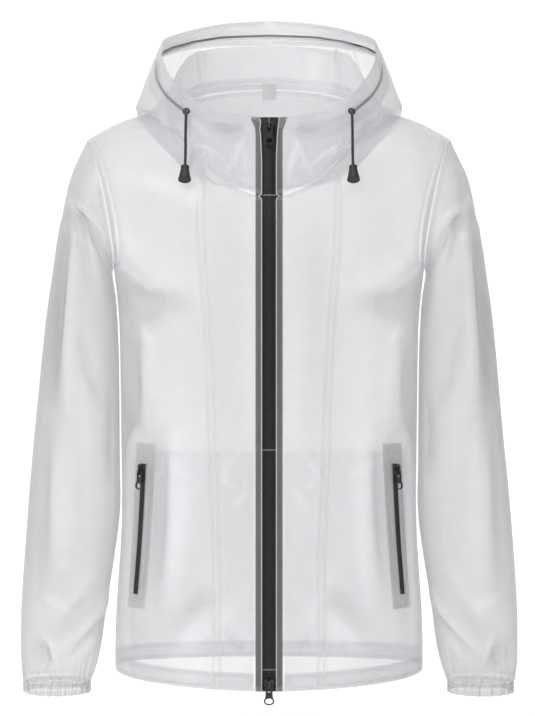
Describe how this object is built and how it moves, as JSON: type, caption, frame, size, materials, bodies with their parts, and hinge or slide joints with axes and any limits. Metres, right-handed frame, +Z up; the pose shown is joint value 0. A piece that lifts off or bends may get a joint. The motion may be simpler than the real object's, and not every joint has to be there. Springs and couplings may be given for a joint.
{
  "type": "hooded rain jacket",
  "caption": "Hooded rain jacket of frosted clear film with a black full-length two-way zip, zipped side pockets, gathered cuffs and a drawcord hood lying open behind the neck.",
  "frame": {"origin": "point between the wearer's shoulder tops, in the middle of the neck opening at the height of the side neck points, on the plane through both shoulder seams' ends", "axes": "+Z up along the standing garment, -Y towards the front with the zip, +X towards the wearer's left"},
  "size_m": [0.594, 0.3185, 0.8249],
  "materials": {
    "film": "frosted clear film, matt to satin",
    "tape": "black coated zip tape, matt",
    "cord": "black braided round cord",
    "enamel": "black enamelled die-cast metal",
    "rubber": "black moulded rubber, matt",
    "label": "plain white woven label, bare"
  },
  "bodies": {
    "jacket": {"front_centre_left": "film", "front_centre_right": "film", "front_side_left": "film", "front_side_right": "film", "back_panel": "film", "hem_front_left": "film", "hem_front_right": "film", "hem_back": "film", "sleeve_left": "film", "sleeve_right": "film", "cuff_left": "film", "cuff_right": "film", "hood_side_left": "film", "hood_side_right": "film", "hood_centre": "film", "hood_casing": "film", "drawcord_in_casing": "cord", "eyelet_left": "enamel", "eyelet_right": "enamel", "drawcord_left": "cord", "drawcord_right": "cord", "cord_end_left": "rubber", "cord_end_right": "rubber", "neck_binding": "film", "size_label": "label", "zip_tape_left": "tape", "zip_tape_right": "tape", "zip_chain": "tape", "zip_top_slider": "enamel", "zip_bottom_slider": "enamel", "pocket_tape_left": "tape", "pocket_tape_right": "tape", "pocket_chain_left": "tape", "pocket_chain_right": "tape", "pocket_left_slider": "enamel", "pocket_right_slider": "enamel", "pocket_bag_left": "film", "pocket_bag_right": "film"},
    "top_pull_tab": {"zip_top_pull": "enamel"},
    "bottom_pull_tab": {"zip_bottom_pull": "enamel"},
    "pocket_left_pull_tab": {"pocket_left_pull": "enamel"},
    "pocket_right_pull_tab": {"pocket_right_pull": "enamel"}
  },
  "joints": [
    {"name": "top_pull_tab_hinge", "type": "hinge", "parent": "jacket", "child": "top_pull_tab", "pos_m": [0, -0.10558, -0.04807], "axis": [-1, 0, 0], "range_deg": [0, 170]},
    {"name": "bottom_pull_tab_hinge", "type": "hinge", "parent": "jacket", "child": "bottom_pull_tab", "pos_m": [0, -0.12634, -0.6877], "axis": [-1, 0, 0], "range_deg": [0, 170]},
    {"name": "pocket_left_pull_tab_hinge", "type": "hinge", "parent": "jacket", "child": "pocket_left_pull_tab", "pos_m": [0.15018, -0.08046, -0.44515], "axis": [-0.6993, -0.7119, -0.0646], "range_deg": [0, 170]},
    {"name": "pocket_right_pull_tab_hinge", "type": "hinge", "parent": "jacket", "child": "pocket_right_pull_tab", "pos_m": [-0.15018, -0.08046, -0.44515], "axis": [-0.6993, 0.7119, 0.0646], "range_deg": [0, 170]}
  ]
}
